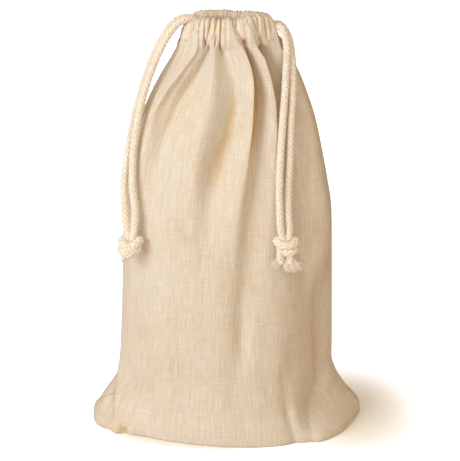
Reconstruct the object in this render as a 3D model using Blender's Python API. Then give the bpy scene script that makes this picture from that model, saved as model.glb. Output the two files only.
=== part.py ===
"""Cotton drawstring bag, standing filled on its base with both cords drawn.

Lengths are in metres, +Z is up and -Y is the front. The two panels are sewn together in the plane
y = 0, along both sides and under the base, and each has its top folded down inside as a channel for
the cords. Around is an angle in degrees within a panel: -90 at the left seam, 0 in the middle and
90 at the right seam.
"""

import math
from collections import namedtuple

import bmesh
import bpy
import numpy as np
from mathutils import Vector

MM = 0.001
GAP = 0.3 * MM  # between pieces that touch
CLOTH = 1.2 * MM  # thickness of the cloth, with its nap and slack

FRONT, BACK = -1, 1
COLUMNS = 56  # around a panel
STEP_AROUND = 180.0 / COLUMNS

# --- The bag's outline ---------------------------------------------------------------------------

# At each height (mm): how far the cloth reaches left, right and to the front or back, how far each
# corner ear stands out past that, how much the sheet is drawn in where an ear joins the body, how
# square the plan is (0 for an ellipse), and how much fuller the front is at the right.
Section = namedtuple("Section", "height left right depth ear pinch square skew")
SECTIONS = (
    Section(0, 82, 82, 56, 20, 0.10, 0.36, 0.18),
    Section(5, 82, 82, 56, 20, 0.10, 0.34, 0.18),
    Section(12, 81, 81, 56, 17, 0.25, 0.24, 0.15),
    Section(22, 81, 79, 54, 11, 0.35, 0.14, 0.10),
    Section(34, 80, 79, 53, 4, 0.20, 0.06, 0.06),
    Section(48, 80, 79, 52, 0, 0.00, 0.00, 0.04),
    Section(90, 78, 78, 52, 0, 0.00, 0.00, 0.00),
    Section(135, 76, 77, 51, 0, 0.00, 0.00, 0.00),
    Section(165, 75, 76, 50, 0, 0.00, 0.00, 0.00),
    Section(190, 72, 72, 48, 0, 0.00, 0.00, 0.00),
    Section(210, 69, 68, 45, 0, 0.00, 0.00, 0.00),
    Section(232, 62, 63, 39, 0, 0.00, 0.00, 0.00),
    Section(250, 54, 57, 33, 0, 0.00, 0.00, 0.00),
    Section(265, 46, 51, 28, 0, 0.00, 0.00, 0.00),
    Section(278, 38, 44, 23, 0, 0.00, 0.00, 0.00),
    Section(288, 33, 38, 19.5, 0, 0.00, 0.00, 0.00),
    Section(310, 33, 38, 19.5, 0, 0.00, 0.00, 0.00),
)
SHARES = ("pinch", "square", "skew")
# How much further out (a share) the front's plan is at the floor, at these places around it: the
# left corner is full, and the right one runs straight to a pointed tip.
Corner = namedtuple("Corner", "around share")
CORNERS = (
    Corner(-90, 0.0), Corner(-80, 0.10), Corner(-68, 0.12), Corner(-56, 0.02), Corner(-44, 0.0),
    Corner(36, 0.0), Corner(50, 0.16), Corner(60, 0.10), Corner(70, -0.14), Corner(80, -0.42), Corner(90, -0.5),
)
FULL_EAR = 20 * MM
BACK_FULLNESS = 1.018  # the back is this much deeper than an evenly filled front
EAR_ROOT = 0.62  # share of the half width at which an ear starts
EAR_CURVE = 1.6  # how sharply it then bends out
FOOT = 4 * MM  # radius of the edge between the base and the walls

# --- The channel ---------------------------------------------------------------------------------

STITCH = 288 * MM  # height of the channel's stitching
CREST = 308 * MM  # height of its fold
HEM = 290.5 * MM  # lower edge of the cloth turned inside
CHANNEL_LEAN = 0.24  # how far the channel leans in for each unit of its height
CHANNEL_END = 19 * STEP_AROUND  # the channels are open from here to the seams
CORD = 5.5 * MM  # cord diameter
SLACK = 0.15 * MM
CREST_RADIUS = CORD / 2 + GAP + CLOTH + SLACK  # half the channel's thickness

# --- Folds and gathers ---------------------------------------------------------------------------

# Each fold starts at the channel and dies out at its end height (mm). Its middle is given around
# the panel at the neck, at the shoulder and at the end, its half width (degrees) at the neck and
# at the shoulder, and its rise (mm, negative in a trough) at the neck and at the shoulder.
Fold = namedtuple("Fold", "neck shoulder low end neck_width width neck_rise rise")
FRONT_FOLDS = (
    Fold(neck=-76, shoulder=-81, low=-83, end=200, neck_width=6, width=8, neck_rise=-1.5, rise=-2),
    Fold(neck=-51, shoulder=-63, low=-65, end=150, neck_width=9, width=12, neck_rise=3, rise=3.5),
    Fold(neck=-37, shoulder=-45, low=-47, end=140, neck_width=4, width=9, neck_rise=-2, rise=-4),
    Fold(neck=-24, shoulder=-25, low=-29, end=120, neck_width=5, width=8, neck_rise=1.5, rise=3),
    Fold(neck=-12, shoulder=-10, low=-11, end=150, neck_width=4, width=7, neck_rise=-1.5, rise=-3),
    Fold(neck=0, shoulder=6, low=0, end=70, neck_width=8, width=9, neck_rise=3.5, rise=4),
    Fold(neck=15, shoulder=19, low=8, end=85, neck_width=4, width=5, neck_rise=-3, rise=-5),
    Fold(neck=27, shoulder=28, low=22, end=150, neck_width=6, width=6, neck_rise=2.5, rise=4),
    Fold(neck=41, shoulder=41, low=38, end=130, neck_width=5, width=8, neck_rise=-2, rise=-6),
    Fold(neck=56, shoulder=58, low=54, end=120, neck_width=7, width=9, neck_rise=2, rise=2.5),
    Fold(neck=70, shoulder=73, low=75, end=160, neck_width=5, width=7, neck_rise=-1.5, rise=-3),
)
BACK_FOLDS = (
    Fold(neck=-72, shoulder=-76, low=-78, end=180, neck_width=6, width=8, neck_rise=-1.5, rise=-3),
    Fold(neck=-55, shoulder=-58, low=-55, end=120, neck_width=8, width=11, neck_rise=2, rise=3.5),
    Fold(neck=-38, shoulder=-39, low=-36, end=110, neck_width=5, width=8, neck_rise=-2, rise=-5),
    Fold(neck=-20, shoulder=-19, low=-16, end=90, neck_width=8, width=10, neck_rise=3, rise=4),
    Fold(neck=-4, shoulder=-1, low=2, end=120, neck_width=4, width=7, neck_rise=-2, rise=-4),
    Fold(neck=13, shoulder=17, low=21, end=80, neck_width=7, width=9, neck_rise=2.5, rise=4),
    Fold(neck=31, shoulder=35, low=38, end=130, neck_width=5, width=7, neck_rise=-2, rise=-5),
    Fold(neck=50, shoulder=55, low=57, end=110, neck_width=9, width=11, neck_rise=2.5, rise=3.5),
    Fold(neck=70, shoulder=75, low=77, end=170, neck_width=6, width=8, neck_rise=-1.5, rise=-3),
)
SHOULDER = 238 * MM
FOLD_SPREAD = 1.8  # how much wider a fold is at its end than at the shoulder
SEAM_CALM = 14.0  # degrees from a seam within which folds and gathers fade
DEEPEST = 9 * MM  # how far a trough may go in, away from the channel
CORD_REACH = 12 * MM  # below the channel, how far up troughs start to be held out by the cords

GATHERS = 11  # small pleats that the channel draws the cloth into, on each panel
GATHER_RISE = 2.2 * MM
GATHER_END = 262 * MM  # where they have died out below the channel
HEM_FOLLOW = -0.3  # the cloth turned inside has this share of the outer wave, towards the mouth
CREST_LIFT = 0.35  # how much a pleat's crest stands up, as a share of how far it stands out

# --- The cords -----------------------------------------------------------------------------------

UPPER_CORD = CREST - CREST_RADIUS
LOWER_CORD = UPPER_CORD - CORD - GAP
TURN_STEP = 9.0  # degrees between a cord's points in the channel
STRAND_STEP = 11 * MM

# Each strand from its channel's end down to its knot, in mm.
LEFT_FRONT_STRAND = (
    (-28, -3.6, 303.4), (-35, -5.4, 300), (-43.3, -9, 289.5), (-51, -13, 274), (-57.8, -17.5, 256),
    (-62.8, -21.5, 237), (-66.2, -25, 216), (-67.3, -28.5, 193), (-66, -31.5, 175),
    (-66.6, -33.5, 163),
)
LEFT_BACK_STRAND = (
    (-28.5, 3, 303.6), (-36, 2, 301), (-44.6, -2, 290.5), (-52.8, -5.5, 274.5), (-59.5, -9.5, 256),
    (-65.3, -13.5, 237), (-69.5, -17.5, 216), (-73.3, -22, 193), (-73.2, -27.5, 175),
    (-72.2, -32.5, 163),
)
RIGHT_FRONT_STRAND = (
    (33, -4, 298), (37.4, -8.5, 297), (40.2, -15, 287), (39.2, -23, 272), (37.7, -31, 255),
    (35.8, -38, 236), (33.9, -45, 214), (33.1, -49, 193), (33.4, -52, 176), (34.3, -53.2, 165),
)
RIGHT_BACK_STRAND = (
    (33, 3, 298.2), (38, 0.6, 297.8), (42.8, -8, 289), (44, -19, 273), (43.4, -28.2, 254),
    (41.8, -35.5, 235), (40.8, -42, 213), (39.6, -45.5, 192), (39.5, -49.5, 176), (40.1, -51.5, 165),
)

# Each knot has a core (half sizes, mm) round its middle, wraps that are rings of cord at a height
# above that middle (radius in mm, tip and lean in degrees), and its ends. A bunch is a frayed end:
# some locks of yarn from a root to a tip, both mm from the middle, with the tips spread apart.
Wrap = namedtuple("Wrap", "up radius tip lean")
Bunch = namedtuple("Bunch", "locks root tip spread")
LEFT_KNOT = (-70, -34, 150.5)
LEFT_CORE = (5.4, 5.2, 8.5)
LEFT_WRAPS = (Wrap(up=2.5, radius=5.3, tip=24, lean=-12), Wrap(up=-2.0, radius=5.0, tip=-30, lean=8))
LEFT_TAIL = ((-1, -1, -4), (-4.5, -1.5, -8), (-7.5, -2, -12.5))
RIGHT_KNOT = (37.7, -52.6, 153)
RIGHT_CORE = (5.0, 4.8, 8.5)
RIGHT_WRAPS = (Wrap(up=5.5, radius=4.7, tip=6, lean=-14), Wrap(up=-0.8, radius=3.6, tip=-28, lean=12))
RIGHT_BUNCHES = (
    Bunch(locks=9, root=(2, 0, -5), tip=(5, -1, -15), spread=4.8),
    Bunch(locks=4, root=(-3.5, 0, -3), tip=(-7.5, -1, -8.5), spread=2.2),
)
LOCK_RADIUS = 1.5 * MM
LOCK_TURN = 137.5  # degrees from one lock to the next
WRAP_SEGMENTS, CORD_SIDES, CORE_RINGS, LOCK_SIDES = 14, 8, 8, 4
WELD = 0.01 * MM

COTTON = (0.80, 0.70, 0.54, 1.0)
CORD_COTTON = (0.82, 0.74, 0.61, 1.0)


def table_column(table, name):
    return np.array([getattr(row, name) for row in table], float)


def smooth_between(at, marks, values):
    """The values at the marks, joined by a curve that has no overshoot (a monotone cubic)."""
    steps = np.diff(marks)
    slopes = np.diff(values) / steps
    tangents = np.zeros(len(marks))
    inner = slopes[:-1] * slopes[1:] > 0
    tangents[1:-1][inner] = 2 * (slopes[:-1] * slopes[1:])[inner] / (slopes[:-1] + slopes[1:])[inner]
    tangents[0], tangents[-1] = slopes[0], slopes[-1]
    index = np.clip(np.searchsorted(marks, at) - 1, 0, len(steps) - 1)
    t = np.clip((at - marks[index]) / steps[index], 0.0, 1.0)
    start, end = values[index], values[index + 1]
    return (
        start * (1 + 2 * t) * (1 - t) ** 2
        + end * t * t * (3 - 2 * t)
        + steps[index] * (tangents[index] * t * (1 - t) ** 2 - tangents[index + 1] * t * t * (1 - t))
    )


def section_at(height, name):
    marks = table_column(SECTIONS, "height")
    value = smooth_between(height / MM, marks, table_column(SECTIONS, name))
    return value if name in SHARES else value * MM


def ease(share):
    """0 to 1 with a soft start and end."""
    share = np.clip(share, 0.0, 1.0)
    return share * share * (3 - 2 * share)


def corner_share(around):
    return smooth_between(around, table_column(CORNERS, "around"), table_column(CORNERS, "share"))


def outline(around, height, side):
    """The bag's plan at this height without its folds, as x and y."""
    turn = np.radians(around)
    across = np.sin(turn)
    reach = np.where(across < 0, section_at(height, "left"), section_at(height, "right"))
    past_root = np.clip((np.abs(across) - EAR_ROOT) / (1 - EAR_ROOT), 0.0, 1.0)
    ear = section_at(height, "ear") * past_root**EAR_CURVE
    drawn_in = 1 - section_at(height, "pinch") * ease(past_root * 1.5)
    forward = np.clip(np.cos(turn), 0.0, 1.0) ** (1 - section_at(height, "square"))
    x = reach * across + np.sign(across) * ear
    fuller = 1 + section_at(height, "skew") * across if side == FRONT else BACK_FULLNESS
    depth = section_at(height, "depth") * forward * drawn_in * fuller
    if side == FRONT:
        depth = depth * (1 + section_at(height, "ear") / FULL_EAR * corner_share(around))
    y = side * (GAP / 2 + depth)
    return np.stack([x, y], axis=-1)


def outward(around, height, side):
    """The unit normal of that plan."""
    ahead = outline(around + 0.5, height, side)
    behind = outline(around - 0.5, height, side)
    along = ahead - behind
    normal = np.stack([along[..., 1], -along[..., 0]], axis=-1) * -side
    at_seam = np.abs(around) > 89.9
    normal[at_seam] = np.stack([np.sign(around[at_seam]), np.zeros(at_seam.sum())], axis=-1)
    return normal / np.linalg.norm(normal, axis=-1, keepdims=True)


def fold_rise(fold, around, height):
    marks = np.array([fold.end, SHOULDER / MM, STITCH / MM])
    at = np.clip(height / MM, fold.end, STITCH / MM)
    middle = smooth_between(at, marks, np.array([fold.low, fold.shoulder, fold.neck], float))
    width = np.interp(at, marks, [FOLD_SPREAD * fold.width, fold.width, fold.neck_width])
    strength = np.interp(at, marks[1:], [fold.rise, fold.neck_rise])
    strength *= ease((at - fold.end) / (SHOULDER / MM - fold.end))
    return strength * MM * np.exp(-(((around - middle) / width) ** 2))


def gather_rise(around, height, side):
    """The small pleats, full height in the channel and dying out below it."""
    phase = GATHERS * math.tau * (around + 90) / 180
    drift = 0.8 * np.sin(0.31 * phase + side) + 0.6 * np.sin(0.17 * phase + 2 * side)
    strength = ease((height - GATHER_END) / (STITCH - GATHER_END))
    return GATHER_RISE * strength * (0.5 + 0.5 * np.cos(phase + drift))


def rise(around, height, side):
    """How far the cloth stands out from the plan. On the cords it can't go in past them."""
    folds = FRONT_FOLDS if side == FRONT else BACK_FOLDS
    total = sum(fold_rise(fold, around, height) for fold in folds)
    total = total + gather_rise(around, height, side)
    near_seam = ease((90 - np.abs(around)) / SEAM_CALM)
    on_cords = ease((height - STITCH + CORD_REACH) / CORD_REACH)
    return np.maximum(total * near_seam, -DEEPEST * (1 - on_cords))


# --- Panels --------------------------------------------------------------------------------------

# A panel is a run of rows from the seam under the base, up the wall, over the channel's fold and
# down to the hem. Share is how far a base row lies from the seam towards the base's edge, inset is
# how far a row lies inside the wall, and tilt is the way that the cloth's outer face looks there:
# -90 down, 0 outwards, 90 up and 180 inwards.
Row = namedtuple("Row", "height share inset tilt")
BASE_SHARES = (0.0, 0.35, 0.72)
FOOT_TILTS = (-90, -52, -20)
WALL_HEIGHTS = (9, 15, 22, 30, 40, 60, 95, 130, 160, 185, 206, 224, 240, 253, 264, 274, 282, 288)
CHANNEL_HEIGHTS = (296,)
CREST_TILTS = (0, 45, 90, 135, 180)


def lean_in(height):
    return CHANNEL_LEAN * min(max(0.0, height - STITCH), UPPER_CORD - STITCH)


def panel_rows():
    rows = [Row(0.0, share, FOOT, -90) for share in BASE_SHARES]
    for tilt in FOOT_TILTS:
        turn = math.radians(tilt)
        rows.append(Row(FOOT * (1 + math.sin(turn)), 1.0, FOOT * (1 - math.cos(turn)), tilt))
    rows += [Row(height * MM, 1.0, 0.0, 0) for height in WALL_HEIGHTS + CHANNEL_HEIGHTS]
    for tilt in CREST_TILTS:
        turn = math.radians(tilt)
        height = UPPER_CORD + CREST_RADIUS * math.sin(turn)
        rows.append(Row(height, 1.0, CREST_RADIUS * (1 - math.cos(turn)), tilt))
    rows.append(Row(HEM, 1.0, 2 * CREST_RADIUS, 180))
    return [row._replace(inset=row.inset + lean_in(row.height)) for row in rows]


def panel_faces_of(row, around, side):
    """The outer and the inner face of the cloth along one row, as two lists of points."""
    height = np.full_like(around, row.height)
    normal = outward(around, height, side)
    turn = math.radians(row.tilt)
    over_crest = (1 - math.cos(turn)) / 2 if row.tilt > 0 else 0.0
    wave = rise(around, height, side) * (1 + (HEM_FOLLOW - 1) * over_crest)
    plan = outline(around, height, side) + normal * (wave - row.inset)[:, None]
    lift = wave * CREST_LIFT * max(0.0, math.sin(turn))
    outer = np.column_stack([plan, height + lift])
    along = np.gradient(plan, axis=0)
    face = np.stack([along[:, 1], -along[:, 0]], axis=-1) * -side
    face[0], face[-1] = normal[0], normal[-1]
    face /= np.linalg.norm(face, axis=-1, keepdims=True)
    looks = np.column_stack([face * math.cos(turn), np.full(len(around), math.sin(turn))])
    inner = outer - looks * CLOTH
    for points in (outer, inner):
        points[:, 1] = side * GAP / 2 + (points[:, 1] - side * GAP / 2) * row.share
        points[:, 1] = side * np.maximum(side * points[:, 1], GAP / 2)
    return outer, inner


def build_panel(name, side):
    around = np.linspace(-90.0, 90.0, COLUMNS + 1)
    rows = panel_rows()
    mesh = bmesh.new()
    outer, inner = [], {}
    for number, row in enumerate(rows):
        line = []
        for column, (out, back) in enumerate(zip(*panel_faces_of(row, around, side))):
            on_seam = column in (0, COLUMNS)
            if on_seam and 0 < number < len(BASE_SHARES) + 1:
                line.append(outer[-1][column])  # the base rows meet at the ears' tips
                continue
            vertex = mesh.verts.new(out)
            inner[vertex] = mesh.verts.new(back)
            line.append(vertex)
        outer.append(line)
    stitch_row = next(n for n, row in enumerate(rows) if abs(row.height - STITCH) < GAP)
    for number in range(len(rows) - 1):
        for column in range(COLUMNS):
            ends = np.abs(around[[column, column + 1]]).max()
            if number >= stitch_row and ends > CHANNEL_END + STEP_AROUND / 2:
                continue
            corners = (
                outer[number][column], outer[number][column + 1],
                outer[number + 1][column + 1], outer[number + 1][column],
            )
            mesh.faces.new(list(dict.fromkeys(corners)))
    close_sheet(mesh, inner)
    finish_mesh(name, mesh, cotton)


def close_sheet(mesh, inner):
    """Gives a sheet its other face and its edges. Inner holds each vertex's partner."""
    sheet = list(mesh.faces)
    edges = [edge for edge in mesh.edges if edge.is_boundary]
    for edge in edges:
        first = edge.link_loops[0].vert
        second = edge.other_vert(first)
        mesh.faces.new((second, first, inner[first], inner[second]))
    for face in sheet:
        mesh.faces.new([inner[vertex] for vertex in reversed(face.verts)])
    loose = [vertex for vertex in mesh.verts if not vertex.link_faces]
    bmesh.ops.delete(mesh, geom=loose, context="VERTS")
    bmesh.ops.recalc_face_normals(mesh, faces=mesh.faces)


# --- Cords ---------------------------------------------------------------------------------------


def channel_line(turn, height):
    """The cords' middle line inside the channels: turn is 0 in front, 90 right, 180 behind."""
    turn = (turn + 180) % 360 - 180
    side = FRONT if abs(turn) <= 90 else BACK
    around = np.array([turn if side == FRONT else math.copysign(180 - abs(turn), turn)])
    inset = CREST_RADIUS + lean_in(height)
    plan = outline(around, STITCH, side) - outward(around, STITCH, side) * inset
    return Vector((*plan[0], height))


def smooth_path(points, spacing):
    """Points about this far apart on a smooth curve through the given ones (Catmull-Rom)."""
    points = [Vector(point) for point in points]
    ends = [2 * points[0] - points[1], *points, 2 * points[-1] - points[-2]]
    path = []
    for before, start, end, after in zip(ends, ends[1:], ends[2:], ends[3:]):
        steps = max(1, round((end - start).length / spacing))
        for step in range(steps):
            t = step / steps
            path.append(
                0.5 * (2 * start + (end - before) * t
                       + (2 * before - 5 * start + 4 * end - after) * t * t
                       + (3 * start - before - 3 * end + after) * t * t * t)
            )
    return path + [points[-1]]


def cord_route(out_strand, back_strand, height, first_turn, sweep):
    """Up one strand from the knot, once round through both channels, and down the other."""
    count = round(abs(sweep) / TURN_STEP)
    turns = [first_turn + sweep * number / count for number in range(count + 1)]
    loop = [channel_line(turn, height) for turn in turns]
    up = [Vector(point) * MM for point in reversed(out_strand)]
    down = [Vector(point) * MM for point in back_strand]
    lead_in = smooth_path(up + loop[:2], STRAND_STEP)[:-1]
    lead_out = smooth_path(loop[-2:] + down, STRAND_STEP)[1:]
    return lead_in + loop[1:-1] + lead_out


def cord_curve(name, route):
    curve = bpy.data.curves.new(name, "CURVE")
    curve.dimensions = "3D"
    curve.bevel_depth = CORD / 2
    curve.bevel_resolution = 2
    curve.use_fill_caps = True
    spline = curve.splines.new("POLY")
    spline.points.add(len(route) - 1)
    for point, place in zip(spline.points, route):
        point.co = (*place, 1.0)
    curve.materials.append(cord_cotton)
    return curve


def build_cord(name, route):
    bag.objects.link(bpy.data.objects.new(name, cord_curve(name, route)))


# --- Knots ---------------------------------------------------------------------------------------


def hidden_piece(piece, name):
    """Puts a piece that is only joined to another in the helpers' collection."""
    piece.name = name
    for collection in piece.users_collection:
        collection.objects.unlink(piece)
    helpers.objects.link(piece)
    piece.hide_render = True
    return piece


def ring(name, middle, wrap):
    bpy.ops.mesh.primitive_torus_add(
        location=middle + Vector((0, 0, wrap.up)) * MM,
        rotation=(math.radians(wrap.lean), math.radians(wrap.tip), 0),
        major_radius=wrap.radius * MM, minor_radius=CORD / 2,
        major_segments=WRAP_SEGMENTS, minor_segments=CORD_SIDES,
    )
    return hidden_piece(bpy.context.object, name)


def stub(name, points):
    """A short end of cord as a closed mesh."""
    guide = bpy.data.objects.new(name, cord_curve(name, points))
    helpers.objects.link(guide)
    graph = bpy.context.evaluated_depsgraph_get()
    data = bpy.data.meshes.new_from_object(guide.evaluated_get(graph))
    bpy.data.objects.remove(guide)
    mesh = bmesh.new()
    mesh.from_mesh(data)
    bmesh.ops.remove_doubles(mesh, verts=mesh.verts, dist=WELD)
    mesh.to_mesh(data)
    mesh.free()
    piece = bpy.data.objects.new(name, data)
    helpers.objects.link(piece)
    piece.hide_render = True
    return piece


def lock(name, root, tip):
    """A tapered bunch of yarn from its root inside the knot to its tip."""
    run = tip - root
    bpy.ops.mesh.primitive_cone_add(
        vertices=LOCK_SIDES, radius1=LOCK_RADIUS, radius2=LOCK_RADIUS / 3, depth=run.length,
        location=(root + tip) / 2, rotation=run.to_track_quat("Z", "Y").to_euler(),
    )
    return hidden_piece(bpy.context.object, name)


def build_knot(name, middle, core, wraps, strands, ends):
    """An overhand knot: a core, its wraps, a stub for each strand that comes in, and its ends."""
    middle = Vector(middle) * MM
    bpy.ops.mesh.primitive_uv_sphere_add(
        segments=WRAP_SEGMENTS, ring_count=CORE_RINGS, radius=MM, location=middle, scale=core
    )
    knot = bpy.context.object
    knot.name = name
    for collection in knot.users_collection:
        collection.objects.unlink(knot)
    bag.objects.link(knot)
    knot.data.materials.append(cord_cotton)
    pieces = [ring(f"{name}_wrap_{n}", middle, wrap) for n, wrap in enumerate(wraps)]
    for number, strand in enumerate(strands):
        end = Vector(strand[-1]) * MM
        into = (end - Vector(strand[-2]) * MM).normalized()
        route = [end + into * GAP * 1.5, end + into * CORD / 2, middle]
        pieces.append(stub(f"{name}_stub_{number}", route))
    for piece in pieces + ends:
        union = knot.modifiers.new(piece.name, "BOOLEAN")
        union.operation = "UNION"
        union.solver = "EXACT"
        union.object = piece
    return knot


def frayed_ends(middle, bunches):
    """Every lock of the bunches, spread round each bunch's middle line."""
    middle = Vector(middle) * MM
    locks = []
    for bunch in bunches:
        root, tip = middle + Vector(bunch.root) * MM, middle + Vector(bunch.tip) * MM
        for number in range(bunch.locks):
            turn = math.radians(LOCK_TURN * number)
            out = math.sqrt((number + 0.5) / bunch.locks) * bunch.spread * MM
            aside = Vector((math.cos(turn), 0.7 * math.sin(turn), 0.25 * math.sin(2.3 * turn))) * out
            locks.append(lock(f"lock_{len(locks):02d}", root + aside / 2, tip + aside))
    return locks


# --- Scene ---------------------------------------------------------------------------------------


def new_material(name, colour, roughness):
    material = bpy.data.materials.new(name)
    material.use_nodes = True
    shader = material.node_tree.nodes["Principled BSDF"]
    shader.inputs["Base Color"].default_value = colour
    shader.inputs["Roughness"].default_value = roughness
    return material


def finish_mesh(name, mesh, material):
    data = bpy.data.meshes.new(name)
    mesh.to_mesh(data)
    mesh.free()
    data.materials.append(material)
    bag.objects.link(bpy.data.objects.new(name, data))


for leftover in list(bpy.data.objects):
    bpy.data.objects.remove(leftover)

bag = bpy.data.collections.new("cotton_drawstring_bag")
helpers = bpy.data.collections.new("helpers")
for collection in (bag, helpers):
    bpy.context.scene.collection.children.link(collection)
cotton = new_material("unbleached_cotton", COTTON, 0.9)
cord_cotton = new_material("cotton_cord", CORD_COTTON, 0.85)

build_panel("front_panel", FRONT)
build_panel("back_panel", BACK)
build_cord("cord_left", cord_route(LEFT_FRONT_STRAND, LEFT_BACK_STRAND, UPPER_CORD, -72, 324))
build_cord("cord_right", cord_route(RIGHT_FRONT_STRAND, RIGHT_BACK_STRAND, LOWER_CORD, 72, -324))
left_tail = [Vector(LEFT_KNOT) * MM + Vector(point) * MM for point in LEFT_TAIL]
build_knot(
    "knot_left", LEFT_KNOT, LEFT_CORE, LEFT_WRAPS, (LEFT_FRONT_STRAND, LEFT_BACK_STRAND),
    [stub("left_tail", left_tail)],
)
build_knot(
    "knot_right", RIGHT_KNOT, RIGHT_CORE, RIGHT_WRAPS, (RIGHT_FRONT_STRAND, RIGHT_BACK_STRAND),
    frayed_ends(RIGHT_KNOT, RIGHT_BUNCHES),
)
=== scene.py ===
"""The looks of the cotton drawstring bag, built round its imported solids.

Lengths are in metres, +Z is up and -Y is the front. The bag's plan, channel and cord routes repeat
the values of the solids' source. Around is an angle in degrees within a panel: -90 at the left
seam, 0 in the middle and 90 at the right seam.
"""

import math
from collections import namedtuple

import bpy
import numpy as np
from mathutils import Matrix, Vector


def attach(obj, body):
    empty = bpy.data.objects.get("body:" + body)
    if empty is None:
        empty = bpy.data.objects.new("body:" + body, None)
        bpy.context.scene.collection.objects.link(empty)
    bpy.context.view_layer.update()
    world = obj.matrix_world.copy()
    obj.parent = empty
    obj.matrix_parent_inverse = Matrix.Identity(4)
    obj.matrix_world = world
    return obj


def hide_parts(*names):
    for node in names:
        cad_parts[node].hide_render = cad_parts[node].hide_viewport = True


MM = 0.001
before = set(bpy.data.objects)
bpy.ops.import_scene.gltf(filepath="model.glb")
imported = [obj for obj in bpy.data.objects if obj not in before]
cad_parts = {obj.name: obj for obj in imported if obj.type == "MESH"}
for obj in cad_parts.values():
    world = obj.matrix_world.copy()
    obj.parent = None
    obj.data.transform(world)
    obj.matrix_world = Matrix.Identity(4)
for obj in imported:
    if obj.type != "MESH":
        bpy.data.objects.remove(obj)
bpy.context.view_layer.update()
rng = np.random.default_rng(7)

FRONT, BACK = -1, 1
CLOTH = 0.7 * MM  # thickness
FLAT = (0.204, 0.385)  # a panel's flat width and height


def rows_of(kind, rows):
    return tuple(kind(*row) for row in rows)


def add_object(name, data):
    made = bpy.data.objects.new(name, data)
    bpy.context.scene.collection.objects.link(made)
    return made


# --- The bag's plan, as in the solids ---

# At each height (mm): how far the cloth reaches left, right and to the front or back, how far each
# corner ear stands out past that, how much the sheet is drawn in where an ear joins the body, how
# square the plan is (0 for an ellipse), and how much fuller the front is at the right.
Section = namedtuple("Section", "height left right depth ear pinch square skew", defaults=(0,) * 4)
SECTIONS = rows_of(Section, (
    (0, 82, 82, 56, 20, 0.10, 0.36, 0.18),
    (5, 82, 82, 56, 20, 0.10, 0.34, 0.18),
    (12, 81, 81, 56, 17, 0.25, 0.24, 0.15),
    (22, 81, 79, 54, 11, 0.35, 0.14, 0.10),
    (34, 80, 79, 53, 4, 0.20, 0.06, 0.06),
    (48, 80, 79, 52, 0, 0.00, 0.00, 0.04),
    (90, 78, 78, 52),
    (135, 76, 77, 51),
    (165, 75, 76, 50),
    (190, 72, 72, 48),
    (210, 69, 68, 45),
    (232, 62, 63, 39),
    (250, 54, 57, 33),
    (265, 46, 51, 28),
    (278, 38, 44, 23),
    (288, 33, 38, 19.5),
    (310, 33, 38, 19.5),
))
SHARES = ("pinch", "square", "skew")
# How much further out (a share) the front's plan is at the floor, at these places around it: the
# left corner is full, and the right one runs straight to a pointed tip.
Corner = namedtuple("Corner", "around share")
CORNERS = rows_of(Corner, (
    (-90, 0.0), (-80, 0.10), (-68, 0.12), (-56, 0.02), (-44, 0.0), (36, 0.0), (50, 0.16), (60, 0.10),
    (70, -0.14), (80, -0.42), (90, -0.5),
))
FULL_EAR = 20 * MM
BACK_FULLNESS = 1.018  # the back is this much deeper than an evenly filled front
EAR_ROOT = 0.62  # share of the half width at which an ear starts
EAR_CURVE = 1.6  # how sharply it then bends out
FOOT = 2 * MM  # radius of the edge between the base and the walls

STITCH, CREST = 288 * MM, 308 * MM  # heights of the channel's stitching and of its fold
CHANNEL_LEAN = 0.24  # how far the channel leans in for each unit of its height
CORD, CORD_GAP = 5.5 * MM, 0.3 * MM  # the cords' diameter, and the gap between the two
CREST_RADIUS = 4.4 * MM  # half the channel's thickness
UPPER_CORD = CREST - CREST_RADIUS
LOWER_CORD = UPPER_CORD - CORD - CORD_GAP

# --- Folds ---

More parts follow.
